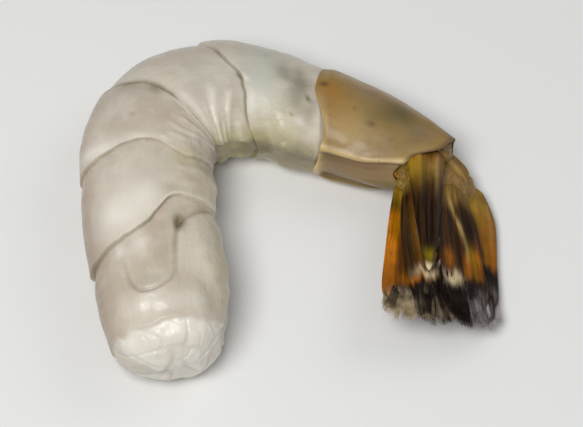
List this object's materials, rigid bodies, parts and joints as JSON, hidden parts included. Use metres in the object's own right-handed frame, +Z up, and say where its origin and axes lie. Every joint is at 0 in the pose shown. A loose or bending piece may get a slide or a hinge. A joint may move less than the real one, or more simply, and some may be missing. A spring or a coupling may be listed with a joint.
{
  "type": "raw prawn",
  "caption": "Raw tiger prawn without its head, peeled but for the tail shell and fan, curled up and lying on its side.",
  "frame": {"origin": "on the surface that it lies on, under the middle of its bounding box", "axes": "+Z up from the surface, through the left flank; +Y towards the hump of the back; +X towards the tail"},
  "size_m": [0.065, 0.058, 0.0169],
  "materials": {
    "flesh": "wet, translucent raw flesh, grey-white with pinkish and yellow-green patches",
    "shell": "thin, wet, half-clear shell, tan with an orange front corner and olive patches",
    "fan": "wet, ridged blades, dark brown with orange edges, cream patches and black-purple tips"
  },
  "bodies": {
    "root": {"flesh": "flesh", "tail_shell": "shell", "telson": "fan", "uropod_base_left": "fan", "uropod_base_right": "fan", "endopod_left": "fan", "endopod_right": "fan", "exopod_left": "fan", "exopod_right": "fan"}
  },
  "joints": []
}
